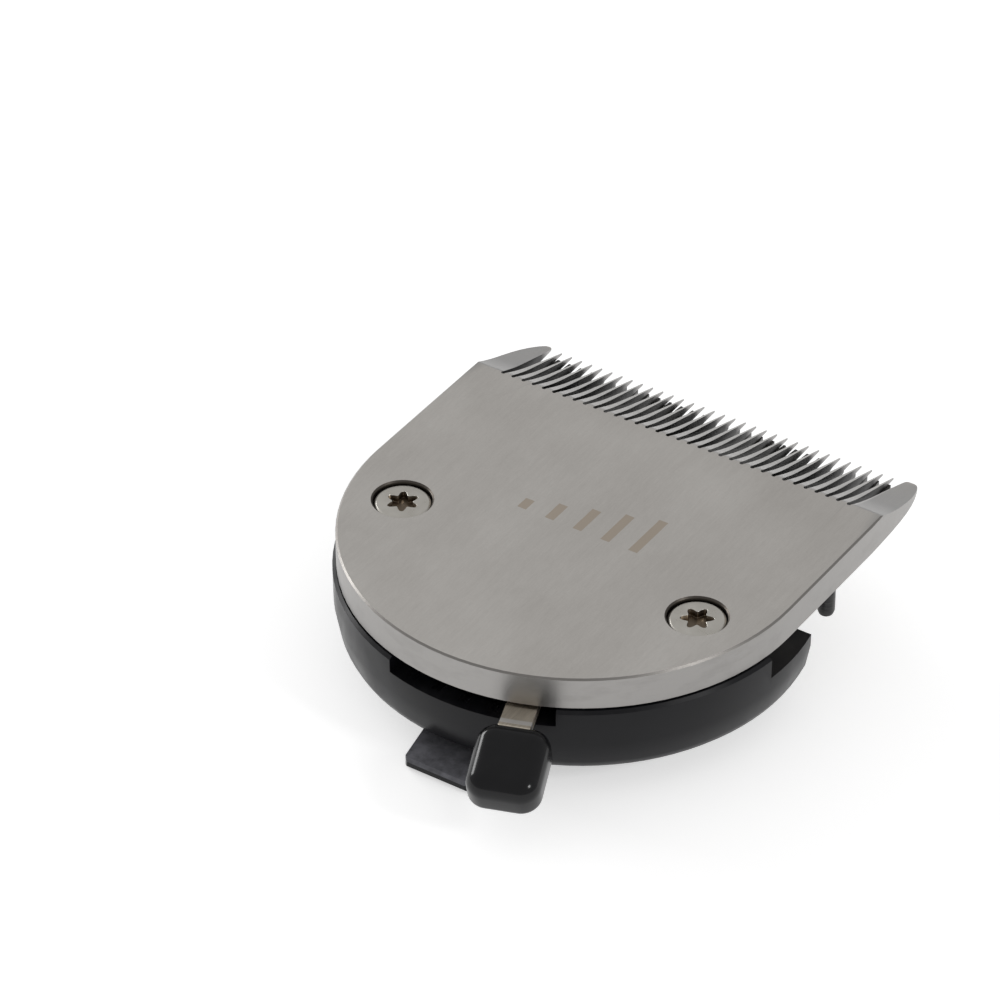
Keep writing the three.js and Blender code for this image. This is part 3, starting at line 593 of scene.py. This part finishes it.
def rounded_outline(half_x, near, far, corner, steps):
    """Points round a rectangle with round corners, seen from above."""
    corners = ((half_x, near, 0), (-half_x, near, 90), (-half_x, far, 180), (half_x, far, 270))
    points = []
    for x, y, start in corners:
        centre_x = x - math.copysign(corner, x)
        centre_y = y - corner if y == near else y + corner
        for step in range(steps + 1):
            angle = math.radians(start + 90 * step / steps)
            points.append((centre_x + corner * math.cos(angle), centre_y + corner * math.sin(angle)))
    return points


def face_rings(outline, z, crown, steps):
    """Rings from a flat face's edge to near its middle, rising to a faint crown."""
    middle_x = sum(x for x, _ in outline) / len(outline)
    middle_y = sum(y for _, y in outline) / len(outline)
    rings = []
    for step in range(1, steps):
        share = 1 - step / steps
        height = z + crown * (1 - share * share)
        rings.append([(middle_x + (x - middle_x) * share, middle_y + (y - middle_y) * share, height)
                      for x, y in outline])
    return rings


def cap_outline(inset):
    """The cap's outline seen from above, drawn in by an inset."""
    half_x, near, far = CAP_HALF_WIDTH - inset, CAP_NEAR - inset, CAP_FAR + inset
    return rounded_outline(half_x, near, far, CAP_CORNER - inset, CAP_CORNER_STEPS)


def rounded_edge(level, radius, start, end):
    """Rings round one rounded edge of the cap, about a level, between two angles in degrees."""
    rings = []
    for step in range(CAP_ROUND_STEPS + 1):
        angle = math.radians(start + (end - start) * step / CAP_ROUND_STEPS)
        outline = cap_outline(radius * (1 - math.cos(angle)))
        rings.append([(x, y, level + radius * math.sin(angle)) for x, y in outline])
    return rings


def cap_rings():
    """Rings of points up the cap's outside, from the middle of its underside to that of its top."""
    under = CAP_UNDER + CAP_CROWN
    top = CAP_TOP - CAP_CROWN
    rings = list(reversed(face_rings(cap_outline(CAP_UNDER_ROUND), under, -CAP_CROWN, CAP_FACE_STEPS)))
    rings += rounded_edge(under + CAP_UNDER_ROUND, CAP_UNDER_ROUND, -90, 0)
    rings += rounded_edge(top - CAP_TOP_ROUND, CAP_TOP_ROUND, 0, 90)
    rings += face_rings(cap_outline(CAP_TOP_ROUND), top, CAP_CROWN, CAP_FACE_STEPS)
    return rings


def skin_over(name, rings, shift):
    """A closed smooth mesh through rings of equally many points, shifted sideways."""
    bm = bmesh.new()
    loops = [[bm.verts.new((x + shift, y, z)) for x, y, z in ring] for ring in rings]
    for lower, upper in zip(loops, loops[1:]):
        for i in range(len(lower)):
            k = (i + 1) % len(lower)
            bm.faces.new((lower[i], lower[k], upper[k], upper[i]))
    bm.faces.new(list(reversed(loops[0])))
    bm.faces.new(loops[-1])
    bmesh.ops.remove_doubles(bm, verts=bm.verts, dist=0.0001 * MM)
    for face in bm.faces:
        face.smooth = True
    mesh = bpy.data.meshes.new(name)
    bm.to_mesh(mesh)
    bm.free()
    return mesh


def cut_pocket(piece, size, place):
    """Cuts a straight-sided pocket from a piece, given in its own coordinates."""
    bm = bmesh.new()
    bmesh.ops.create_cube(bm, size=1.0)
    bmesh.ops.scale(bm, vec=size, verts=bm.verts)
    bmesh.ops.translate(bm, vec=place, verts=bm.verts)
    mesh = bpy.data.meshes.new("pocket")
    bm.to_mesh(mesh)
    bm.free()
    cutter = bpy.data.objects.new("pocket", mesh)
    bpy.context.scene.collection.objects.link(cutter)
    cutter.matrix_world = piece.matrix_world
    boolean = piece.modifiers.new("pocket", "BOOLEAN")
    boolean.object = cutter
    boolean.operation = "DIFFERENCE"
    boolean.solver = "EXACT"
    bpy.context.view_layer.update()
    evaluated = piece.evaluated_get(bpy.context.evaluated_depsgraph_get())
    made = bpy.data.meshes.new_from_object(evaluated)
    piece.modifiers.clear()
    piece.data = made
    bpy.data.objects.remove(cutter)


def make_lever_cap():
    """The dipped cap: a soft block sloping down from the bend, with the strip's pocket in it."""
    mesh = skin_over("lever_cap_skin", cap_rings(), CAP_SHIFT)
    piece = new_piece("lever_cap_skin", mesh, black_vinyl())
    size = (STRIP_WIDTH + 2 * POCKET_CLEARANCE, POCKET_LENGTH, STRIP_THICK + 2 * POCKET_CLEARANCE)
    cut_pocket(piece, size, (0, POCKET_Y, -STRIP_DEPTH - STRIP_THICK / 2))
    piece.data.transform(lever_frame())
    piece.data.set_sharp_from_angle(angle=CAP_SHARP_ANGLE)
    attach(piece, "lever")
    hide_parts("lever_cap")


def spring_route(side):
    """Points along one torsion spring: rear leg, coil round the rod, front leg."""
    rod = middle("guide_rod")
    coil = middle("cutter_spring_" + side)
    out = 1 if side == "right" else -1
    start_x = coil.x + out * COIL_SPAN / 2
    end_x = coil.x - out * COIL_SPAN / 2
    leg_run = REAR_LEG_END - REAR_LEG_START
    points = []
    for i in range(LEG_STEPS + 1):
        leg_y = rod.y - REAR_LEG_END + leg_run * i / LEG_STEPS
        points.append(Vector((start_x, leg_y, rod.z + REAR_LEG_RISE)))
    steps = COIL_TURNS * TURN_STEPS
    for i in range(steps + 1):
        angle = 2 * math.pi * COIL_TURNS * i / steps
        points.append(Vector((
            start_x + (end_x - start_x) * i / steps,
            rod.y + COIL_RADIUS * math.sin(angle),
            rod.z + COIL_RADIUS * math.cos(angle),
        )))
    for i in range(1, LEG_STEPS + 1):
        leg_y = rod.y + FRONT_LEG_END * i / LEG_STEPS
        points.append(Vector((end_x, leg_y, rod.z + COIL_RADIUS)))
    return points


def make_spring(side, material):
    """One torsion spring as a round wire along its route."""
    curve = bpy.data.curves.new("spring_wire_" + side, "CURVE")
    curve.dimensions = "3D"
    curve.bevel_depth = WIRE_RADIUS
    curve.bevel_resolution = 4
    curve.use_fill_caps = True
    points = spring_route(side)
    line = curve.splines.new("POLY")
    line.points.add(len(points) - 1)
    for point, place in zip(line.points, points):
        point.co = (*place, 1)
    line.use_smooth = True
    piece = new_piece("spring_wire_" + side, curve, material)
    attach(piece, "sled")
    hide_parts("cutter_spring_" + side)


# ---- Scene -------------------------------------------------------------------------------
add_camera()
add_world()
for name, settings in SOFTBOXES.items():
    add_softbox(name, *settings)
add_floor()
bpy.context.scene.view_settings.view_transform = "Standard"
spring_steel = finish_nodes()
make_lever_cap()
for side in ("left", "right"):
    make_spring(side, spring_steel)
